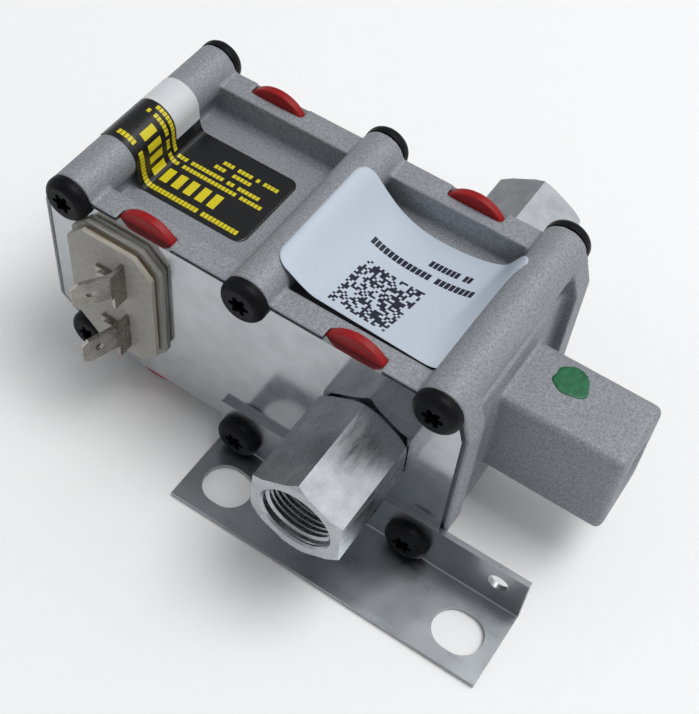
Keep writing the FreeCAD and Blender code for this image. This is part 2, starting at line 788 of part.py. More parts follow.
# --- Labels and paint ------------------------------------------------------------
def pocket_skin(offset, x0, x1, y0, y1):
    """Solid under a skin laid over a pocket floor and the tubes beside it."""
    parts = [block(x0, x1, y0, y1, core_top - 1, core_top + offset)]
    for x in (0.0, column_pitch, 2 * column_pitch):
        parts.append(block(x - rib_half_w - offset, x + rib_half_w + offset, y0, y1, core_top - 1, row_pitch))
        parts.append(rod_y(x, row_pitch, tube_r + offset, y0, y1))
    return fuse(parts)


def make_label(y0, y1, x0, x1):
    """Thin sheet stuck over the pocket between two X limits on the tubes."""
    outer = pocket_skin(label_gap + label_t, -tube_r - 1, 2 * column_pitch + tube_r + 1, y0, y1)
    inner = pocket_skin(label_gap, -tube_r - 1, 2 * column_pitch + tube_r + 1, y0 - 1, y1 + 1)
    window = block(x0, x1, y0, y1, core_top - 2, ledge_top + tube_r + 2)
    return outer.cut(inner).common(window)


def make_warning_label():
    """Label on the left pocket floor that laps over the crest of the left tube."""
    y0 = flange_y1 + warning_front_gap
    y1 = rear_face - flange_y1 - warning_rear_gap
    sheet = make_label(y0, y1, -warning_wrap, column_pitch - warning_from_column)
    return sheet.cut(block(-warning_wrap - 1, 0, y0 - 1, y1 + 1, core_top - 3, row_pitch))


def make_id_label():
    """Label across the right pocket between the crests of two tubes."""
    y0 = flange_y1 + id_front_gap
    y1 = rear_face - flange_y1 - id_rear_gap
    return make_label(y0, y1, column_pitch + id_label_wrap, 2 * column_pitch - id_label_wrap)


def make_paint_mark():
    """Round paint dab on top of the inlet boss."""
    z = inlet_boss_z + inlet_boss_h / 2
    return rod_z(paint_x, inlet_boss_y + paint_offset_y, paint_r, z, z + paint_t)


# --- Assembly --------------------------------------------------------------------
def end_group():
    """Every piece of the front end, keyed by its name without the end."""
    group = {
        "cover": make_cover(),
        "seal": make_seal(),
        "outlet_fitting": make_fitting(),
        "fitting_retainer": make_retainer(),
        "arm_bracket": make_arm_bracket(),
        "bimetal_arm": make_arm(),
        "mica_sleeve": make_mica(),
        "heater_coil": make_coil(),
        "valve_disc": make_disc(),
        "disc_rivet": make_disc_rivet(),
        "terminal_board": make_board(),
        "terminal_spacer": board_layer(spacer_inset, board_y0 + board_t, board_y0 + board_t + spacer_t),
        "terminal_gasket": board_layer(0.0, -gasket_t, 0.0),
        "terminal_rivets": make_terminal_rivets(),
        "terminal_bushings": make_bushings(),
        "heater_leads": make_leads(),
    }
    return group


def build_nodes():
    """All nodes of the valve in the working frame."""
    nodes = {"valve_body": make_body()}
    for name, shape in end_group().items():
        nodes["front_" + name] = shape
        nodes["rear_" + name] = to_rear(shape)
    for name in terminal_tops:
        nodes["front_" + name + "_terminal"] = make_terminal(name, terminal_lean[name])
        nodes["rear_" + name + "_terminal"] = make_rear_terminal(name)
    nodes["front_cover_screws"] = make_screws(cover_only_sites, 0.0)
    nodes["bracket_screws"] = make_screws(bracket_sites, -bracket_t)
    nodes["rear_cover_screws"] = to_rear(make_screws(screw_sites, 0.0))
    nodes["mounting_bracket"] = make_bracket()
    nodes["warning_label"] = make_warning_label()
    nodes["id_label"] = make_id_label()
    nodes["paint_mark"] = make_paint_mark()
    return nodes


def main():
    """Moves each node to the row frame and writes it."""
    os.makedirs("parts", exist_ok=True)
    for name, shape in build_nodes().items():
        placed = shape.copy()
        placed.translate(FreeCAD.Vector(0, 0, 0) - row_origin)
        placed.exportStep("parts/" + name + ".step")
        print(name, len(placed.Solids), round(placed.Volume, 2), placed.isValid())


main()
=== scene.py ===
"""Looks of the double gas safety valve: finishes, cast skin, threads, stickers and studio."""

import json
import logging
import math
import random
from dataclasses import dataclass, field
from enum import Enum

import bpy
from mathutils import Matrix, Vector


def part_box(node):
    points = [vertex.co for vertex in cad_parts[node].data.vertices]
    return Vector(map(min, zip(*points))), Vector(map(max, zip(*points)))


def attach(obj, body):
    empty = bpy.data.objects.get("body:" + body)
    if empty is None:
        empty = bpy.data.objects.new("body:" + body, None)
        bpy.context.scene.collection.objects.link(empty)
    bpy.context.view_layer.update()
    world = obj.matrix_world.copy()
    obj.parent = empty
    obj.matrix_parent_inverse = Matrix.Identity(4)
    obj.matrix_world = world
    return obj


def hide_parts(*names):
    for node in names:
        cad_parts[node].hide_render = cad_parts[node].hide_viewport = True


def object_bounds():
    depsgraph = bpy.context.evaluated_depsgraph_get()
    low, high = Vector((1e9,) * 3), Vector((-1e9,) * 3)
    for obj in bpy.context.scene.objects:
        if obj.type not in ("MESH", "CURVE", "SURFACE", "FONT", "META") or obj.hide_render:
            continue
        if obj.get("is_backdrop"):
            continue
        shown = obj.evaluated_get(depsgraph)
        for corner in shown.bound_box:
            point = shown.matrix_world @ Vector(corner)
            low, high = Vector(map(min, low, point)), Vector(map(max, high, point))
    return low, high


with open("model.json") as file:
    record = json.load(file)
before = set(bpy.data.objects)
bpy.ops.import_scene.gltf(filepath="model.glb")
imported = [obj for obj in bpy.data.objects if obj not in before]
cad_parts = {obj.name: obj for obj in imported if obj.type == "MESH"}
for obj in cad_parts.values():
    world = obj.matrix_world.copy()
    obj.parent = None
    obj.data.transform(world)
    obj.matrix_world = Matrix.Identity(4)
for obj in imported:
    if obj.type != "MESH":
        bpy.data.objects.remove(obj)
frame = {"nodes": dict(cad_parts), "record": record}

LOG = logging.getLogger("gas_valve")
MM = 0.001
NO_GAP = 1.01
Colour = tuple[float, float, float]
Point = tuple[float, float]
Span = tuple[Point, Point, Point, Point]
Socket = bpy.types.NodeSocket


class End(Enum):
    """The two ends of the valve, each with its own cover, outlet and terminals."""

    FRONT = "front"
    REAR = "rear"

    def node(self, name: str) -> str:
        """Name of this end's copy of a CAD node."""
        return f"{self.value}_{name}"


class Texture(Enum):
    """What a shader pattern is laid out on."""

    OBJECT = "Object"
    NORMAL = "Normal"
    UV = "UV"


# --- Shader building ---------------------------------------------------------------
class ShaderGraph:
    """One node material with a principled shader and helpers for its patterns."""

    def __init__(self, name: str) -> None:
        """Starts an empty material.

        Args:
            name: The material's name.
        """
        self.material = bpy.data.materials.new(name)
        self.material.use_nodes = True
        self.tree = self.material.node_tree
        self.tree.nodes.clear()
        output = self.node("ShaderNodeOutputMaterial")
        self.shader = self.node("ShaderNodeBsdfPrincipled")
        self.link(self.shader.outputs["BSDF"], output.inputs["Surface"])
        self.coordinates = self.node("ShaderNodeTexCoord")

    def node(self, kind: str, **values: object) -> bpy.types.Node:
        """Adds a node and sets its plain properties.

        Args:
            kind: Blender's node type.
            **values: Properties of the node.

        Returns:
            The new node.
        """
        made = self.tree.nodes.new(kind)
        for key, value in values.items():
            setattr(made, key, value)
        return made

    def link(self, source: Socket, target: Socket) -> None:
        """Joins two sockets."""
        self.tree.links.new(source, target)

    def constant(self, **sockets: object) -> None:
        """Sets the shader's own sockets.

        Args:
            **sockets: Socket names with underscores for spaces, and their values.
        """
        for key, value in sockets.items():
            self.shader.inputs[key.replace("_", " ")].default_value = value

    def source(self, texture: Texture, stretch: tuple[float, float, float] = (1, 1, 1)) -> Socket:
        """Pattern coordinates, optionally stretched along an axis.

        Args:
            texture: What the pattern is laid out on.
            stretch: Scale of each axis before the pattern is read.

        Returns:
            The vector socket to feed to a pattern.
        """
        if stretch == (1, 1, 1):
            return self.coordinates.outputs[texture.value]
        mapping = self.node("ShaderNodeMapping")
        mapping.inputs["Scale"].default_value = stretch
        self.link(self.coordinates.outputs[texture.value], mapping.inputs["Vector"])
        return mapping.outputs["Vector"]

    def noise(
        self, scale: float, detail: float = 3.0, roughness: float = 0.55,
        stretch: tuple[float, float, float] = (1, 1, 1),
    ) -> Socket:
        """Noise over the object in metres.

        Args:
            scale: Lumps to the metre.
            detail: Octaves of finer noise.
            roughness: Strength of the finer octaves.
            stretch: Scale of each axis before the noise is read.

        Returns:
            The noise value socket.
        """
        made = self.node("ShaderNodeTexNoise")
        made.inputs["Scale"].default_value = scale
        made.inputs["Detail"].default_value = detail
        made.inputs["Roughness"].default_value = roughness
        self.link(self.source(Texture.OBJECT, stretch), made.inputs["Vector"])
        return made.outputs["Fac"]

    def ramp(
        self, value: Socket, low: float, high: float, dark: Colour, light: Colour,
    ) -> Socket:
        """Turns a value into a blend of two colours.

        Args:
            value: The driving value.
            low: Value at which the blend starts.
            high: Value at which the blend ends.
            dark: Colour at the low value.
            light: Colour at the high value.

        Returns:
            The colour socket.
        """
        made = self.node("ShaderNodeValToRGB")
        first, last = made.color_ramp.elements
        first.position, last.position = low, high
        first.color, last.color = (*dark, 1.0), (*light, 1.0)
        self.link(value, made.inputs["Fac"])
        return made.outputs["Color"]

    def spread(self, value: Socket, low: float, high: float) -> Socket:
        """Maps a 0 to 1 value to a range.

        Args:
            value: The driving value.
            low: Result at 0.25.
            high: Result at 0.75.

        Returns:
            The mapped value socket.
        """
        made = self.node("ShaderNodeMapRange")
        made.inputs["From Min"].default_value = 0.25
        made.inputs["From Max"].default_value = 0.75
        made.inputs["To Min"].default_value = low
        made.inputs["To Max"].default_value = high
        self.link(value, made.inputs["Value"])
        return made.outputs["Result"]

    def math(self, operation: str, first: object, second: object = 0.0) -> Socket:
        """One arithmetic step.

        Args:
            operation: Blender's name of the operation.
            first: A socket or a number.
            second: A socket or a number.

        Returns:
            The result socket.
        """
        made = self.node("ShaderNodeMath", operation=operation)
        for place, value in zip(made.inputs, (first, second)):
            if isinstance(value, Socket):
                self.link(value, place)
            else:
                place.default_value = float(value)
        return made.outputs["Value"]

    def mix(self, share: Socket, under: object, over: object) -> Socket:
        """Lays one colour over another.

        Args:
            share: How much of the upper colour shows.
            under: The lower colour, a socket or three numbers.
            over: The upper colour, a socket or three numbers.

        Returns:
            The mixed colour socket.
        """
        made = self.node("ShaderNodeMix", data_type="RGBA")
        self.link(share, made.inputs["Factor"])
        for name, value in (("A", under), ("B", over)):
            place = next(s for s in made.inputs if s.name == name and s.type == "RGBA")
            if isinstance(value, Socket):
                self.link(value, place)
            else:
                place.default_value = (*value, 1.0)
        return next(s for s in made.outputs if s.type == "RGBA")

    def bump(self, *layers: tuple[Socket, float, float]) -> None:
        """Raises the surface by one or more patterns.

        Args:
            *layers: Height socket, strength and height in metres of each pattern.
        """
        below = None
        for height, strength, distance in layers:
            made = self.node("ShaderNodeBump")
            made.inputs["Strength"].default_value = strength
            made.inputs["Distance"].default_value = distance
            self.link(height, made.inputs["Height"])
            if below is not None:
                self.link(below, made.inputs["Normal"])
            below = made.outputs["Normal"]
        self.link(below, self.shader.inputs["Normal"])


# --- Finishes ------------------------------------------------------------------------
@dataclass(frozen=True)
class CastAluminium:
    """Shot-blasted die casting: a fine bright and dark speckle on dull grey."""

    shade: Colour = (0.185, 0.195, 0.215)
    glint: Colour = (0.375, 0.395, 0.425)
    grain: float = 2500.0
    metallic: float = 0.22

    def make(self) -> bpy.types.Material:
        """The finished material."""
        graph = ShaderGraph("cast_aluminium")
        speckle = graph.noise(self.grain, 2.0, 0.7)
        patches = graph.noise(150.0, 2.0)
        colour = graph.ramp(speckle, 0.30, 0.74, self.shade, self.glint)
        stain = graph.math("MULTIPLY", graph.spread(patches, 0.0, 1.0), 0.22)
        graph.link(graph.mix(stain, colour, self.shade), graph.shader.inputs["Base Color"])
        graph.link(graph.spread(speckle, 0.70, 0.50), graph.shader.inputs["Roughness"])
        graph.constant(Metallic=self.metallic)
        graph.bump((speckle, 0.50, 0.0001), (graph.noise(420.0, 2.0), 0.22, 0.0002))
        return graph.material


@dataclass(frozen=True)
class RolledSheet:
    """Bright plated or galvanised sheet with faint rolling lines and handling marks."""

    name: str
    shade: Colour
    glint: Colour
    rough_low: float
    rough_high: float
    spangle: float = 220.0
    scratch: float = 0.12

    def make(self) -> bpy.types.Material:
        """The finished material."""
        graph = ShaderGraph(self.name)
        lines = graph.noise(900.0, 4.0, 0.7, (0.03, 1.0, 1.0))
        clouds = graph.noise(self.spangle, 3.0, 0.5)
        colour = graph.ramp(clouds, 0.32, 0.70, self.shade, self.glint)
        graph.link(colour, graph.shader.inputs["Base Color"])
        rough = graph.math("ADD", graph.spread(clouds, self.rough_low, self.rough_high),
                           graph.spread(lines, -0.03, 0.03))
        graph.link(rough, graph.shader.inputs["Roughness"])
        graph.constant(Metallic=1.0)
        graph.bump((lines, self.scratch, 0.00002), (clouds, 0.05, 0.0001))
        return graph.material


@dataclass(frozen=True)
class MachinedZinc:
    """Drawn hexagon bar, turned at its ends and plated."""

    shade: Colour = (0.36, 0.38, 0.40)
    glint: Colour = (0.48, 0.50, 0.52)

    def make(self) -> bpy.types.Material:
        """The finished material."""
        graph = ShaderGraph("plated_fitting")
        drawn = graph.noise(620.0, 4.0, 0.65, (1.0, 0.18, 1.0))
        blotch = graph.noise(260.0, 3.0, 0.6)
        graph.link(graph.ramp(blotch, 0.30, 0.70, self.shade, self.glint), graph.shader.inputs["Base Color"])
        graph.link(graph.spread(drawn, 0.20, 0.36), graph.shader.inputs["Roughness"])
        graph.constant(Metallic=1.0)
        graph.bump((drawn, 0.35, 0.00003), (blotch, 0.30, 0.00008))
        return graph.material


@dataclass(frozen=True)
class SmoothMetal:
    """Small stamped, headed or drawn metal part."""

    name: str
    shade: Colour
    glint: Colour
    rough: float
    metallic: float = 1.0
    sheen: float = 0.5

    def make(self) -> bpy.types.Material:
        """The finished material."""
        graph = ShaderGraph(self.name)
        marks = graph.noise(1500.0, 3.0, 0.6)
        tone = graph.noise(320.0, 2.0)
        graph.link(graph.ramp(tone, 0.3, 0.7, self.shade, self.glint), graph.shader.inputs["Base Color"])
        rough = graph.spread(marks, self.rough - 0.04, self.rough + 0.05)
        graph.link(rough, graph.shader.inputs["Roughness"])
        graph.constant(Metallic=self.metallic, Specular_IOR_Level=self.sheen)
        graph.bump((marks, 0.06, 0.00002))
        return graph.material


@dataclass(frozen=True)
class SiliconeRubber:
    """Moulded silicone or rubber with a soft skin and a little dust."""

    name: str
    colour: Colour
    dusty: Colour
    rough: float = 0.38
    soft: float = 0.08

    def make(self) -> bpy.types.Material:
        """The finished material."""
        graph = ShaderGraph(self.name)
        dust = graph.noise(700.0, 4.0, 0.7)
        graph.link(graph.ramp(dust, 0.45, 0.85, self.colour, self.dusty), graph.shader.inputs["Base Color"])
        graph.link(graph.spread(dust, self.rough - 0.06, self.rough + 0.12), graph.shader.inputs["Roughness"])
        graph.constant(Subsurface_Weight=self.soft, Subsurface_Scale=0.002, Specular_IOR_Level=0.3)
        graph.bump((graph.noise(1300.0, 2.0), 0.12, 0.00005))
        return graph.material


@dataclass(frozen=True)
class PressedBoard:
    """Pressed insulating board: flecked faces and darker cut edges."""

    name: str
    face: Colour
    fleck: Colour
    edge: Colour

    def make(self) -> bpy.types.Material:
        """The finished material."""
        graph = ShaderGraph(self.name)
        flecks = graph.noise(950.0, 3.0, 0.7)
        clouds = graph.noise(140.0, 2.0)
        faces = graph.ramp(flecks, 0.34, 0.62, self.fleck, self.face)
        faces = graph.mix(graph.math("MULTIPLY", graph.spread(clouds, 0.0, 1.0), 0.3), faces, self.fleck)
        split = graph.node("ShaderNodeSeparateXYZ")
        graph.link(graph.source(Texture.NORMAL), split.inputs["Vector"])
        flat = graph.math("ABSOLUTE", split.outputs["Y"])
        cut = graph.math("LESS_THAN", flat, 0.6)
        layers = graph.noise(3000.0, 2.0, 0.5, (0.05, 1.0, 0.05))
        edge = graph.ramp(layers, 0.3, 0.7, tuple(c * 0.6 for c in self.edge), self.edge)
        graph.link(graph.mix(cut, faces, edge), graph.shader.inputs["Base Color"])
        graph.link(graph.spread(flecks, 0.48, 0.66), graph.shader.inputs["Roughness"])
        graph.bump((flecks, 0.2, 0.00005))
        return graph.material


@dataclass(frozen=True)
class DashField:
    """Rows of plain dashes inside a rectangle of a printed sheet, in sheet shares.

    A share of NO_GAP fills a row, a dash or a field without a gap.
    """

    left: float
    right: float
    low: float
    high: float
    rows: int
    dashes: int
    filled: float = 0.55
    share: float = 0.8
    wide: float = 0.82

    def mask(self, graph: ShaderGraph, u: Socket, v: Socket) -> Socket:
        """Where ink lies.

        Args:
            graph: The material being built.
            u: Share across the sheet.
            v: Share up the sheet.

        Returns:
            A socket that is 1 on a dash and 0 elsewhere.
        """
        across = graph.math("DIVIDE", graph.math("SUBTRACT", u, self.left), self.right - self.left)
        up = graph.math("DIVIDE", graph.math("SUBTRACT", v, self.low), self.high - self.low)
        row = graph.math("MULTIPLY", up, self.rows)
        column = graph.math("MULTIPLY", across, self.dashes)
        cell = graph.node("ShaderNodeCombineXYZ")
        graph.link(graph.math("FLOOR", column), cell.inputs["X"])
        graph.link(graph.math("FLOOR", row), cell.inputs["Y"])
        cell.inputs["Z"].default_value = self.left * 37.0 + self.low * 11.0
        chance = graph.node("ShaderNodeTexWhiteNoise", noise_dimensions="3D")
        graph.link(cell.outputs["Vector"], chance.inputs["Vector"])
        parts = [
            graph.math("GREATER_THAN", across, 0.0),
            graph.math("LESS_THAN", across, 1.0),
            graph.math("GREATER_THAN", up, 0.0),
            graph.math("LESS_THAN", up, 1.0),
            graph.math("LESS_THAN", graph.math("FRACT", row), self.filled),
            graph.math("LESS_THAN", graph.math("FRACT", column), self.wide),
            graph.math("LESS_THAN", chance.outputs["Value"], self.share),
        ]
        found = parts[0]
        for part in parts[1:]:
            found = graph.math("MULTIPLY", found, part)
        return found


@dataclass(frozen=True)
class PrintedSheet:
    """Coated paper or film with plain dashes printed on it."""

    name: str
    stock: Colour
    ink: Colour
    fields: tuple[DashField, ...]
    rough: float = 0.32
    bare: DashField | None = None
    bare_colour: Colour = (0.62, 0.64, 0.66)

    def make(self) -> bpy.types.Material:
        """The finished material."""
        graph = ShaderGraph(self.name)
        split = graph.node("ShaderNodeSeparateXYZ")
        graph.link(graph.source(Texture.UV), split.inputs["Vector"])
        masks = [f.mask(graph, split.outputs["X"], split.outputs["Y"]) for f in self.fields]
        ink = masks[0]
        for mask in masks[1:]:
            ink = graph.math("MAXIMUM", ink, mask)
        fibre = graph.noise(2200.0, 3.0, 0.6)
        stock = graph.ramp(fibre, 0.2, 0.8, tuple(c * 0.93 for c in self.stock), self.stock)
        if self.bare is not None:
            unprinted = self.bare.mask(graph, split.outputs["X"], split.outputs["Y"])
            stock = graph.mix(unprinted, stock, self.bare_colour)
        graph.link(graph.mix(ink, stock, self.ink), graph.shader.inputs["Base Color"])
        rough = graph.spread(fibre, self.rough - 0.05, self.rough + 0.07)
        graph.link(rough, graph.shader.inputs["Roughness"])
        graph.constant(Specular_IOR_Level=0.45)
        graph.bump((graph.noise(260.0, 2.0), 0.10, 0.0002))
        return graph.material


@dataclass(frozen=True)
class MarkingPaint:
    """Thin dab of marker paint with a streaky coat."""

    thin: Colour = (0.004, 0.085, 0.03)
    thick: Colour = (0.012, 0.19, 0.07)

    def make(self) -> bpy.types.Material:
        """The finished material."""
        graph = ShaderGraph("green_paint")
        streaks = graph.noise(900.0, 4.0, 0.7, (1.0, 0.5, 1.0))
        graph.link(graph.ramp(streaks, 0.35, 0.7, self.thin, self.thick), graph.shader.inputs["Base Color"])
        graph.link(graph.spread(streaks, 0.55, 0.35), graph.shader.inputs["Roughness"])
        graph.bump((streaks, 0.4, 0.0001))
        return graph.material


@dataclass(frozen=True)
class StudioPaper:
    """Seamless pale paper under the valve."""

    colour: Colour = (0.93, 0.93, 0.93)

    def make(self) -> bpy.types.Material:
        """The finished material."""
        graph = ShaderGraph("studio_paper")
        fibre = graph.noise(400.0, 3.0)
        graph.link(graph.ramp(fibre, 0.2, 0.8, tuple(c * 0.985 for c in self.colour), self.colour),
                   graph.shader.inputs["Base Color"])
        graph.constant(Roughness=0.8, Specular_IOR_Level=0.2)
        return graph.material


class Finishes:
    """Every finish of the valve, made once and handed out by material slot."""

    def __init__(self) -> None:
        """Makes the materials."""
        code = DashField(0.31, 0.62, 0.06, 0.52, 25, 25, NO_GAP, 0.5, NO_GAP)
        self.by_slot: dict[str, bpy.types.Material] = {
            "cast_aluminium": CastAluminium().make(),
            "zinc_plate": RolledSheet("zinc_plate", (0.42, 0.44, 0.46), (0.50, 0.52, 0.54), 0.10, 0.16,
                                      220.0, 0.05).make(),
            "plated_fitting": MachinedZinc().make(),
            "galvanised": RolledSheet("galvanised", (0.34, 0.36, 0.38), (0.40, 0.42, 0.44), 0.26, 0.34,
                                      130.0, 0.25).make(),
            "black_screw": SmoothMetal("black_screw", (0.004, 0.004, 0.005), (0.008, 0.008, 0.011),
                                       0.42, 0.0, 0.10).make(),
            "silicone": SiliconeRubber("silicone", (0.28, 0.004, 0.006), (0.33, 0.012, 0.014)).make(),
            "board_laminate": PressedBoard("board_laminate", (0.38, 0.37, 0.34), (0.29, 0.28, 0.25),
                                           (0.46, 0.43, 0.37)).make(),
            "spacer_laminate": PressedBoard("spacer_laminate", (0.18, 0.12, 0.06), (0.12, 0.08, 0.04),
                                            (0.16, 0.11, 0.06)).make(),
            "gasket_fibre": PressedBoard("gasket_fibre", (0.40, 0.40, 0.37), (0.30, 0.30, 0.28),
                                         (0.48, 0.46, 0.42)).make(),
            "nickel": SmoothMetal("nickel", (0.27, 0.25, 0.23), (0.42, 0.39, 0.36), 0.26).make(),
            "spring_steel": SmoothMetal("spring_steel", (0.30, 0.30, 0.31), (0.42, 0.42, 0.43), 0.32).make(),
            "bimetal": SmoothMetal("bimetal", (0.42, 0.36, 0.27), (0.52, 0.46, 0.36), 0.34).make(),
            "heater_wire": SmoothMetal("heater_wire", (0.32, 0.28, 0.25), (0.46, 0.42, 0.38), 0.36).make(),
            "mica": PressedBoard("mica", (0.50, 0.42, 0.28), (0.34, 0.27, 0.16), (0.44, 0.36, 0.22)).make(),
            "disc_rubber": SiliconeRubber("disc_rubber", (0.02, 0.02, 0.02), (0.06, 0.06, 0.06),
                                          0.6, 0.0).make(),
            "bushing_ceramic": SiliconeRubber("bushing_ceramic", (0.62, 0.60, 0.55), (0.52, 0.50, 0.45),
                                              0.30, 0.05).make(),
            "dark_label": PrintedSheet(
                "dark_label", (0.006, 0.006, 0.007), (0.66, 0.56, 0.012),
                (
                    DashField(0.10, 0.95, 0.06, 0.12, 1, 42, NO_GAP, 0.84),
                    DashField(0.20, 0.80, 0.20, 0.39, 1, 9, NO_GAP, 1.0, 0.62),
                    DashField(0.14, 0.95, 0.46, 0.64, 2, 40, 0.55, 0.84),
                    DashField(0.62, 0.95, 0.66, 0.84, 2, 16, 0.55, 0.84),
                ),
                0.28, DashField(0.0, 0.37, 0.62, NO_GAP, 1, 1, NO_GAP, NO_GAP, NO_GAP),
            ).make(),
            "pale_label": PrintedSheet(
                "pale_label", (0.52, 0.58, 0.66), (0.012, 0.014, 0.03),
                (code, DashField(0.27, 0.80, 0.63, 0.69, 1, 22, NO_GAP, 0.88),
                 DashField(0.53, 0.74, 0.75, 0.81, 1, 10, NO_GAP, 0.88)),
            ).make(),
            "green_paint": MarkingPaint().make(),
        }

    def dress(self, piece: bpy.types.Object, slot: str) -> None:
        """Puts a slot's material on a piece.

        Args:
            piece: The object to dress.
            slot: The record's material slot.
        """
        piece.data.materials.clear()
        piece.data.materials.append(self.by_slot[slot])
        for polygon in piece.data.polygons:
            polygon.material_index = 0


# --- Mesh helpers ----------------------------------------------------------------------
def add_object(name: str, mesh: bpy.types.Mesh) -> bpy.types.Object:
    """Links a mesh to the scene.

    Args:
        name: Name of the new piece.
        mesh: Its mesh, in metres in the row frame.

    Returns:
        The new object.
    """
    made = bpy.data.objects.new(name, mesh)
    bpy.context.scene.collection.objects.link(made)
    return made


def mesh_from(name: str, points: list[Vector], faces: list[tuple[int, ...]]) -> bpy.types.Mesh:
    """A smooth shaded mesh.

    Args:
        name: Name of the mesh.
        points: Its vertices.
        faces: Vertex numbers of each face.

    Returns:
        The mesh.
    """
    mesh = bpy.data.meshes.new(name)
    mesh.from_pydata(points, [], faces)
    mesh.validate()
    mesh.polygons.foreach_set("use_smooth", [True] * len(mesh.polygons))
    return mesh


def settle(piece: bpy.types.Object) -> None:
    """Applies a piece's modifiers to its mesh.

    Args:
        piece: The object whose modifiers become its mesh.
    """
    graph = bpy.context.evaluated_depsgraph_get()
    mesh = bpy.data.meshes.new_from_object(piece.evaluated_get(graph))
    piece.modifiers.clear()
    piece.data = mesh


def mount(name: str) -> dict:
    """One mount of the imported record."""
    return next(m for m in frame["record"]["mounts"] if m["name"] == name)


# --- Cast body ---------------------------------------------------------------------------
@dataclass
class CastSkin:
    """The die casting with its sharp machined-model edges softened as the mould leaves them."""

    voxel: float = 0.35 * MM
    smoothing: int = 4

    def build(self) -> bpy.types.Object:
        """Remeshes a copy of the casting and relaxes it.

        Returns:
            The skin piece.
        """
        piece = add_object("cast_body", frame["nodes"]["valve_body"].data.copy())
        remesh = piece.modifiers.new("skin", "REMESH")
        remesh.mode = "VOXEL"
        remesh.voxel_size = self.voxel
        relax = piece.modifiers.new("relax", "SMOOTH")
        relax.factor = 0.5
        relax.iterations = self.smoothing
        settle(piece)
        piece.data.polygons.foreach_set("use_smooth", [True] * len(piece.data.polygons))
        return piece

    def dress(self, finishes: Finishes) -> list[bpy.types.Object]:
        """Builds the skin, paints it and lets it stand for the CAD casting.

        Args:
            finishes: The valve's materials.

        Returns:
            The pieces made.
        """
        piece = self.build()
        finishes.dress(piece, "cast_aluminium")
        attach(piece, "body")
        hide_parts("valve_body")
        return [piece]


# --- Threads --------------------------------------------------------------------------------
@dataclass
class ThreadRidge:
    """A helical ridge that stands in from the wall of a tapped bore."""

    name: str
    port: str
    slot: str
    pitch: float = 1.06 * MM
    depth: float = 0.58 * MM
    steps: int = 48
    lead_in: float = 0.5 * MM
    run_out: float = 1.6 * MM
    bite: float = 0.04 * MM

    def build(self) -> bpy.types.Object:
        """Sweeps the ridge round its bore.

        Returns:
            The ridge piece.
        """
        port = mount(self.port)
        axis = Vector(port["axis"]).normalized()
        bore = port["dims"]["length_mm"] * MM
        start = Vector(port["pos_m"]) + axis * (bore / 2)
        radius = port["dims"]["r_mm"] * MM
        length = bore - self.run_out
        side = axis.orthogonal().normalized()
        other = axis.cross(side)
        turns = (length - self.lead_in) / self.pitch
        count = int(turns * self.steps)
        points: list[Vector] = []
        for k in range(count + 1):
            angle = 2 * math.pi * k / self.steps
            fade = min(1.0, k / (0.7 * self.steps), (count - k) / (1.5 * self.steps))
            height = max(0.03 * MM, self.depth * fade)
            out = side * math.cos(angle) + other * math.sin(angle)
            along = self.lead_in + self.pitch * k / self.steps
            for reach, shift in ((-self.bite, -0.46), (height, -0.05), (height, 0.05), (-self.bite, 0.46)):
                points.append(start + out * (radius - reach) - axis * (along + shift * self.pitch))
        faces: list[tuple[int, ...]] = []
        for k in range(count):
            low, high = 4 * k, 4 * k + 4
            for j in range(4):
                n = (j + 1) % 4
                faces.append((low + j, low + n, high + n, high + j))
        faces.append((3, 2, 1, 0))
        faces.append(tuple(4 * count + j for j in range(4)))
        mesh = mesh_from(self.name, points, faces)
        mesh.set_sharp_from_angle(angle=math.radians(35))
        return add_object(self.name, mesh)

    def dress(self, finishes: Finishes) -> list[bpy.types.Object]:
        """Builds and paints the ridge.

        Args:
            finishes: The valve's materials.

        Returns:
            The pieces made.
        """
        piece = self.build()
        finishes.dress(piece, self.slot)
        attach(piece, "body")
        return [piece]


# --- Stickers -----------------------------------------------------------------------------
@dataclass
class Strand:
    """A smooth line in X and Z through cubic spans, sampled at even steps."""

    spans: list[Span]
    samples: int = 40

    def points(self, count: int) -> list[Point]:
        """Evenly spaced points along the whole line.

        Args:
            count: How many points.

        Returns:
            The points from first to last.
        """
        raw: list[Point] = []
        for a, b, c, d in self.spans:
            for k in range(self.samples + 1):
                t = k / self.samples
                s = 1 - t
                raw.append(tuple(
                    s ** 3 * a[i] + 3 * s * s * t * b[i] + 3 * s * t * t * c[i] + t ** 3 * d[i]
                    for i in (0, 1)
                ))
        reach = [0.0]
        for p, q in zip(raw, raw[1:]):
            reach.append(reach[-1] + math.dist(p, q))
        found: list[Point] = []
        j = 0
        for k in range(count):
            goal = reach[-1] * k / (count - 1)
            while j < len(reach) - 2 and reach[j + 1] < goal:
                j += 1
            gap = max(reach[j + 1] - reach[j], 1e-12)
            t = min(1.0, max(0.0, (goal - reach[j]) / gap))
            found.append(tuple(raw[j][i] * (1 - t) + raw[j + 1][i] * t for i in (0, 1)))
        return found


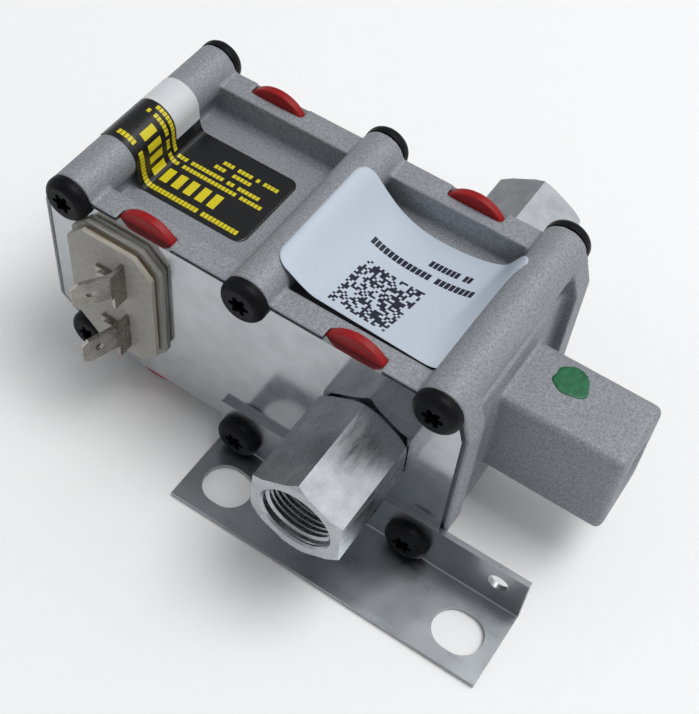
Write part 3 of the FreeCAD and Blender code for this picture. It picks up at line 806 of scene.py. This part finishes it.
@dataclass
class DrapedSticker:
    """A thin rounded sheet that hangs between a front line and a rear line."""

    name: str
    slot: str
    front: Strand
    rear: Strand
    front_y: float
    rear_y: float
    skew: float = 0.0
    corner: float = 3.0 * MM
    thickness: float = 0.10 * MM
    columns: int = 72
    rows: int = 44
    ease: float = 1.0

    def build(self) -> bpy.types.Object:
        """Lays the sheet, gives it print coordinates and thickens it.

        Returns:
            The sticker piece.
        """
        front = self.front.points(400)
        rear = self.rear.points(400)
        width = sum(math.dist(p, q) for p, q in zip(front, front[1:]))
        depth = abs(self.rear_y - self.front_y)
        points: list[Vector] = []
        shares: list[Point] = []
        for row in range(self.rows + 1):
            v = 0.5 - 0.5 * math.cos(math.pi * row / self.rows)
            inset = self.corner_inset(v * depth, depth) / width
            for column in range(self.columns + 1):
                u = inset + (1 - 2 * inset) * column / self.columns
                place = min(398, int(u * 399))
                rest = u * 399 - place
                blend = v ** self.ease
                x, z = (
                    (front[place][i] * (1 - rest) + front[place + 1][i] * rest) * (1 - blend)
                    + (rear[place][i] * (1 - rest) + rear[place + 1][i] * rest) * blend
                    for i in (0, 1)
                )
                y = self.front_y + (self.rear_y - self.front_y) * v + self.skew * (1 - v) * (1 - u)
                points.append(Vector((x, y, z)))
                shares.append((u, v))
        wide = self.columns + 1
        faces = [
            (r * wide + c, r * wide + c + 1, (r + 1) * wide + c + 1, (r + 1) * wide + c)
            for r in range(self.rows) for c in range(self.columns)
        ]
        mesh = mesh_from(self.name, points, faces)
        layer = mesh.uv_layers.new(name="print")
        for loop in mesh.loops:
            layer.data[loop.index].uv = shares[loop.vertex_index]
        piece = add_object(self.name, mesh)
        thicken = piece.modifiers.new("stock", "SOLIDIFY")
        thicken.thickness = self.thickness
        thicken.offset = 1.0
        settle(piece)
        return piece

    def corner_inset(self, along: float, depth: float) -> float:
        """How far the sheet's side is drawn in by its round corners.

        Args:
            along: Distance from the front edge.
            depth: Distance from front edge to rear edge.

        Returns:
            The inset in metres.
        """
        near = min(along, depth - along)
        if near >= self.corner:
            return 0.0
        return self.corner - math.sqrt(max(0.0, self.corner ** 2 - (self.corner - near) ** 2))

    def dress(self, finishes: Finishes, *nodes: str) -> list[bpy.types.Object]:
        """Builds and prints the sticker.

        Args:
            finishes: The valve's materials.
            *nodes: CAD nodes that it stands for.

        Returns:
            The pieces made.
        """
        piece = self.build()
        finishes.dress(piece, self.slot)
        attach(piece, "body")
        if nodes:
            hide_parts(*nodes)
        return [piece]


@dataclass
class Deck:
    """Heights and places of the casting's top, where the stickers lie."""

    tube: float = 4.7 * MM
    pocket_drop: float = 6.6 * MM
    lift: float = 0.05 * MM
    left: float = field(init=False)
    middle: float = field(init=False)
    right: float = field(init=False)
    axis_z: float = field(init=False)
    ledge_z: float = field(init=False)
    floor_z: float = field(init=False)

    def __post_init__(self) -> None:
        """Reads the screw columns and the ledge from the CAD boxes."""
        low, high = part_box("rear_cover_screws")
        head_low, head_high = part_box("bracket_screws")
        head = (head_high.z - head_low.z) / 2
        self.left, self.right = low.x + head, high.x - head
        self.middle = (self.left + self.right) / 2
        self.axis_z = high.z - head
        self.floor_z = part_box("id_label")[0].z
        self.ledge_z = self.floor_z + self.pocket_drop

    def over_tube(self, centre: float, start_deg: float, stop_deg: float) -> Span:
        """A cubic span that hugs a tube between two angles above the horizontal.

        Args:
            centre: X of the tube's axis.
            start_deg: Angle of the first point, 180 on the left and 0 on the right.
            stop_deg: Angle of the last point.

        Returns:
            The span's four control points.
        """
        radius = self.tube + self.lift
        turn = math.radians(start_deg - stop_deg)
        pull = 4.0 / 3.0 * math.tan(turn / 4.0) * radius
        ends = []
        for degrees, sign in ((start_deg, 1.0), (stop_deg, -1.0)):
            a = math.radians(degrees)
            at = (centre + radius * math.cos(a), self.axis_z + radius * math.sin(a))
            ends.append((at, (at[0] + sign * pull * math.sin(a), at[1] - sign * pull * math.cos(a))))
        return ends[0][0], ends[0][1], ends[1][1], ends[1][0]


@dataclass
class Stickers:
    """The pale sheet over the right pocket and the dark sheet in the left pocket."""

    deck: Deck = field(default_factory=Deck)
    pale_left_gap: float = 0.5 * MM
    pale_right_gap: float = 2.4 * MM
    pale_front_over: float = 0.8 * MM
    pale_rear_short: float = 0.1 * MM
    pale_skew: float = 1.3 * MM
    pale_corner: float = 3.4 * MM
    pale_ease: float = 0.72
    ledge_lift: float = 0.06 * MM
    floor_lift: float = 0.12 * MM
    dark_lift: float = 0.05 * MM
    dark_wrap_deg: float = 160.0
    dark_crest_deg: float = 92.0
    dark_side_deg: float = 2.0
    dark_corner: float = 2.2 * MM

    def pale(self) -> DrapedSticker:
        """The pale sheet: stuck to both tubes, on the ledge in front and sagging behind."""
        deck = self.deck
        top = deck.axis_z + deck.tube + deck.lift
        left, right = deck.middle + self.pale_left_gap, deck.right - self.pale_right_gap
        ledge, floor = deck.ledge_z + self.ledge_lift, deck.floor_z + self.floor_lift

        def from_left(along: float, z: float, rise: float = 0.0) -> Point:
            """A point some millimetres in from the sheet's left side.

            Args:
                along: Distance in from the side, in millimetres.
                z: Height the point is measured from, in metres.
                rise: Distance above that height, in millimetres.

            Returns:
                The point.
            """
            return left + along * MM, z + rise * MM

        def from_right(along: float, z: float, rise: float = 0.0) -> Point:
            """A point some millimetres in from the sheet's right side.

            Args:
                along: Distance in from the side, in millimetres.
                z: Height the point is measured from, in metres.
                rise: Distance above that height, in millimetres.

            Returns:
                The point.
            """
            return right - along * MM, z + rise * MM

        front = Strand([
            (from_left(0, top), from_left(3.6, top, -0.1), from_left(5.6, ledge, 0.7), from_left(9.6, ledge)),
            (from_left(9.6, ledge), from_left(16, ledge), from_right(10, ledge), from_right(5.2, ledge)),
            (from_right(5.2, ledge), from_right(3.4, ledge), from_right(1.8, ledge, 0.5),
             from_right(0, ledge, 1.9)),
        ])
        rear = Strand([
            (from_left(0, top), from_left(4.3, top, -0.3), from_left(6.5, floor, 0.4),
             from_left(18.5, floor)),
            (from_left(18.5, floor), from_left(24, floor), from_right(9, floor, 0.6),
             from_right(5.4, floor, 2.6)),
            (from_right(5.4, floor, 2.6), from_right(3.6, floor, 3.6), from_right(2.4, top, -1.9),
             from_right(0, top, -0.75)),
        ])
        low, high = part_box("id_label")
        return DrapedSticker(
            "id_sticker", "pale_label", front, rear, low.y - self.pale_front_over,
            high.y - self.pale_rear_short, self.pale_skew, self.pale_corner, ease=self.pale_ease,
        )

    def dark_line(self, end: float) -> Strand:
        """The dark sheet's line: round the left tube, down its side and along the floor.

        Args:
            end: X where the line stops.

        Returns:
            The line.
        """
        deck = self.deck
        floor = deck.floor_z + self.dark_lift
        over = deck.over_tube(deck.left, self.dark_wrap_deg, self.dark_crest_deg)
        down = deck.over_tube(deck.left, self.dark_crest_deg, self.dark_side_deg)
        side = deck.left + deck.tube + 0.2 * MM
        foot = side + 1.9 * MM
        return Strand([
            over, down,
            (down[3], (side, deck.axis_z - 2.6 * MM), (side - 0.2 * MM, floor), (foot, floor)),
            ((foot, floor), (side + 8 * MM, floor), (end - 8 * MM, floor), (end, floor)),
        ])

    def dark(self) -> DrapedSticker:
        """The dark sheet with its plain yellow dashes."""
        low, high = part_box("warning_label")
        line = self.dark_line(high.x)
        return DrapedSticker(
            "warning_sticker", "dark_label", line, line, low.y, high.y, corner=self.dark_corner,
        )

    def dress(self, finishes: Finishes) -> list[bpy.types.Object]:
        """Builds both stickers.

        Args:
            finishes: The valve's materials.

        Returns:
            The pieces made.
        """
        return self.pale().dress(finishes, "id_label") + self.dark().dress(finishes, "warning_label")


# --- Paint mark ------------------------------------------------------------------------------
@dataclass
class PaintDab:
    """An uneven dab of marker paint on top of the inlet boss."""

    spokes: int = 56
    rings: int = 7
    wobble: float = 0.11
    phase: float = 6.28
    narrow: float = 0.92
    dome: float = 0.03 * MM
    sink: float = 0.10 * MM
    seed: int = 11

    def build(self) -> bpy.types.Object:
        """Lays a low irregular dome where the CAD mark is.

        Returns:
            The dab piece.
        """
        chance = random.Random(self.seed)
        low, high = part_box("paint_mark")
        centre = (low + high) / 2
        radius = (high.x - low.x) / 2 * 0.97
        waves = [
            (k, chance.uniform(0.3, 1.0) * self.wobble / k ** 0.6, chance.uniform(0, self.phase))
            for k in range(2, 9)
        ]
        points = [Vector((centre.x, centre.y, high.z + self.dome))]
        for ring in range(1, self.rings + 1):
            share = ring / self.rings
            for k in range(self.spokes):
                angle = 2 * math.pi * k / self.spokes
                swell = 1 + share * sum(a * math.sin(n * angle + p) for n, a, p in waves)
                reach = radius * share * swell
                x = centre.x + reach * math.cos(angle)
                y = centre.y + self.narrow * reach * math.sin(angle)
                height = high.z + self.dome * (1 - share ** 4) - (self.sink if ring == self.rings else 0.0)
                points.append(Vector((x, y, height)))
        faces: list[tuple[int, ...]] = [(0, 1 + k, 1 + (k + 1) % self.spokes) for k in range(self.spokes)]
        for ring in range(self.rings - 1):
            near, far = 1 + ring * self.spokes, 1 + (ring + 1) * self.spokes
            for k in range(self.spokes):
                n = (k + 1) % self.spokes
                faces.append((near + k, far + k, far + n, near + n))
        faces.append(tuple(1 + (self.rings - 1) * self.spokes + k for k in reversed(range(self.spokes))))
        return add_object("paint_dab", mesh_from("paint_dab", points, faces))

    def dress(self, finishes: Finishes) -> list[bpy.types.Object]:
        """Builds and paints the dab.

        Args:
            finishes: The valve's materials.

        Returns:
            The pieces made.
        """
        piece = self.build()
        finishes.dress(piece, "green_paint")
        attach(piece, "body")
        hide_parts("paint_mark")
        return [piece]


# --- Machined and pressed parts kept from the CAD model --------------------------------------
@dataclass
class EndHardware:
    """Cover, seal, outlet, terminals and bimetal arm of one end."""

    end: End
    slots: dict[str, str] = field(default_factory=lambda: {
        "cover": "zinc_plate", "seal": "silicone", "outlet_fitting": "plated_fitting",
        "fitting_retainer": "plated_fitting", "arm_bracket": "spring_steel", "bimetal_arm": "bimetal",
        "mica_sleeve": "mica", "heater_coil": "heater_wire", "valve_disc": "disc_rubber",
        "disc_rivet": "nickel", "terminal_board": "board_laminate", "terminal_spacer": "spacer_laminate",
        "terminal_gasket": "gasket_fibre", "terminal_rivets": "nickel",
        "terminal_bushings": "bushing_ceramic", "heater_leads": "nickel",
        "upper_terminal": "nickel", "lower_terminal": "nickel",
        "cover_screws": "black_screw",
    })

    def dress(self, finishes: Finishes) -> list[bpy.types.Object]:
        """Finishes this end's CAD nodes where they stand.

        Args:
            finishes: The valve's materials.

        Returns:
            The nodes dressed.
        """
        done = []
        for name, slot in self.slots.items():
            piece = frame["nodes"][self.end.node(name)]
            finishes.dress(piece, slot)
            done.append(piece)
        return done


@dataclass
class Mounting:
    """The slotted angle and the two screws that hold it."""

    slots: dict[str, str] = field(default_factory=lambda: {
        "mounting_bracket": "galvanised", "bracket_screws": "black_screw",
    })

    def dress(self, finishes: Finishes) -> list[bpy.types.Object]:
        """Finishes the bracket and its screws.

        Args:
            finishes: The valve's materials.

        Returns:
            The nodes dressed.
        """
        done = []
        for name, slot in self.slots.items():
            finishes.dress(frame["nodes"][name], slot)
            done.append(frame["nodes"][name])
        return done


# --- Studio -------------------------------------------------------------------------------------
@dataclass
class SoftBox:
    """One square area light aimed at a point."""

    name: str
    place: tuple[float, float, float]
    size: float
    power: float
    tint: Colour = (1.0, 1.0, 1.0)

    def build(self, aim: Vector) -> bpy.types.Object:
        """Adds the light.

        Args:
            aim: The point it faces.

        Returns:
            The light object.
        """
        data = bpy.data.lights.new(self.name, "AREA")
        data.shape = "SQUARE"
        data.size = self.size
        data.energy = self.power
        data.color = self.tint
        light = bpy.data.objects.new(self.name, data)
        light.location = self.place
        light.rotation_euler = (aim - Vector(self.place)).to_track_quat("-Z", "Y").to_euler()
        bpy.context.scene.collection.objects.link(light)
        return light


@dataclass
class Studio:
    """Pale floor, soft lights and the camera."""

    floor_half: float = 3.0
    floor_cells: int = 24
    flat_radius: float = 1.2
    dish: float = 0.35
    floor_gap: float = 0.1 * MM
    world_strength: float = 0.42
    horizon: Colour = (0.24, 0.25, 0.26)
    zenith: Colour = (0.97, 0.985, 1.0)
    camera_place: tuple[float, float, float] = (0.055045, -0.110654, 0.236583)
    azimuth: float = 27.751
    elevation: float = 53.792
    roll: float = 6.972
    lens: float = 67.10
    sensor: float = 36.0
    lights: tuple[SoftBox, ...] = (
        SoftBox("overhead", (0.42, 0.28, 1.40), 0.70, 12.5),
        SoftBox("back_right", (0.75, 0.80, 0.95), 1.20, 3.5),
        SoftBox("front_left", (-0.80, -0.30, 0.55), 0.50, 0.6),
    )

    def floor(self) -> bpy.types.Object:
        """A gently dished paper floor under the bracket.

        Returns:
            The floor object.
        """
        count = self.floor_cells
        points = []
        for row in range(count + 1):
            for column in range(count + 1):
                x = self.floor_half * (2 * column / count - 1)
                y = self.floor_half * (2 * row / count - 1)
                rise = max(0.0, math.hypot(x, y) - self.flat_radius) ** 2 * self.dish
                points.append(Vector((x, y, rise - self.floor_gap)))
        wide = count + 1
        faces = [
            (r * wide + c, r * wide + c + 1, (r + 1) * wide + c + 1, (r + 1) * wide + c)
            for r in range(count) for c in range(count)
        ]
        piece = add_object("studio_floor", mesh_from("studio_floor", points, faces))
        piece.data.materials.append(StudioPaper().make())
        piece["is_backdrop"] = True
        return piece

    def world(self) -> None:
        """Pale surroundings that darken towards the horizon."""
        world = bpy.data.worlds.new("studio")
        world.use_nodes = True
        tree = world.node_tree
        sky = tree.nodes["Background"]
        place = tree.nodes.new("ShaderNodeTexCoord")
        split = tree.nodes.new("ShaderNodeSeparateXYZ")
        fade = tree.nodes.new("ShaderNodeValToRGB")
        low, high = fade.color_ramp.elements
        low.position, high.position = 0.0, 0.75
        low.color, high.color = (*self.horizon, 1.0), (*self.zenith, 1.0)
        tree.links.new(place.outputs["Generated"], split.inputs["Vector"])
        tree.links.new(split.outputs["Z"], fade.inputs["Fac"])
        tree.links.new(fade.outputs["Color"], sky.inputs["Color"])
        sky.inputs["Strength"].default_value = self.world_strength
        bpy.context.scene.world = world

    def camera(self) -> bpy.types.Object:
        """The camera, turned by its azimuth, elevation and roll.

        Returns:
            The camera object.
        """
        data = bpy.data.cameras.new("camera")
        data.lens = self.lens
        data.sensor_width = self.sensor
        data.clip_start, data.clip_end = 0.005, 20.0
        made = bpy.data.objects.new("camera", data)
        turn = (
            Matrix.Rotation(math.radians(self.azimuth), 4, "Z")
            @ Matrix.Rotation(math.radians(90.0 - self.elevation), 4, "X")
            @ Matrix.Rotation(math.radians(self.roll), 4, "Z")
        )
        made.matrix_world = Matrix.Translation(self.camera_place) @ turn
        bpy.context.scene.collection.objects.link(made)
        bpy.context.scene.camera = made
        return made

    def build(self) -> None:
        """Sets up the floor, surroundings, lights and camera."""
        low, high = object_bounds()
        self.floor()
        self.world()
        for light in self.lights:
            light.build((low + high) / 2)
        self.camera()
        bpy.context.scene.view_settings.view_transform = "Standard"


def main() -> None:
    """Builds every sub-assembly in order and reports each piece."""
    logging.basicConfig(level=logging.INFO, format="%(message)s")
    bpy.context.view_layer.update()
    finishes = Finishes()
    assemblies = [
        CastSkin(),
        ThreadRidge("inlet_thread", "inlet_port", "cast_aluminium", depth=0.6 * MM),
        ThreadRidge("front_outlet_thread", "front_outlet", "plated_fitting"),
        ThreadRidge("rear_outlet_thread", "rear_outlet", "plated_fitting"),
        EndHardware(End.FRONT),
        EndHardware(End.REAR),
        Mounting(),
        Stickers(),
        PaintDab(),
    ]
    for assembly in assemblies:
        for piece in assembly.dress(finishes):
            LOG.info("%s: %s, %d faces", type(assembly).__name__, piece.name, len(piece.data.polygons))
    Studio().build()


if __name__ == "__main__":
    main()
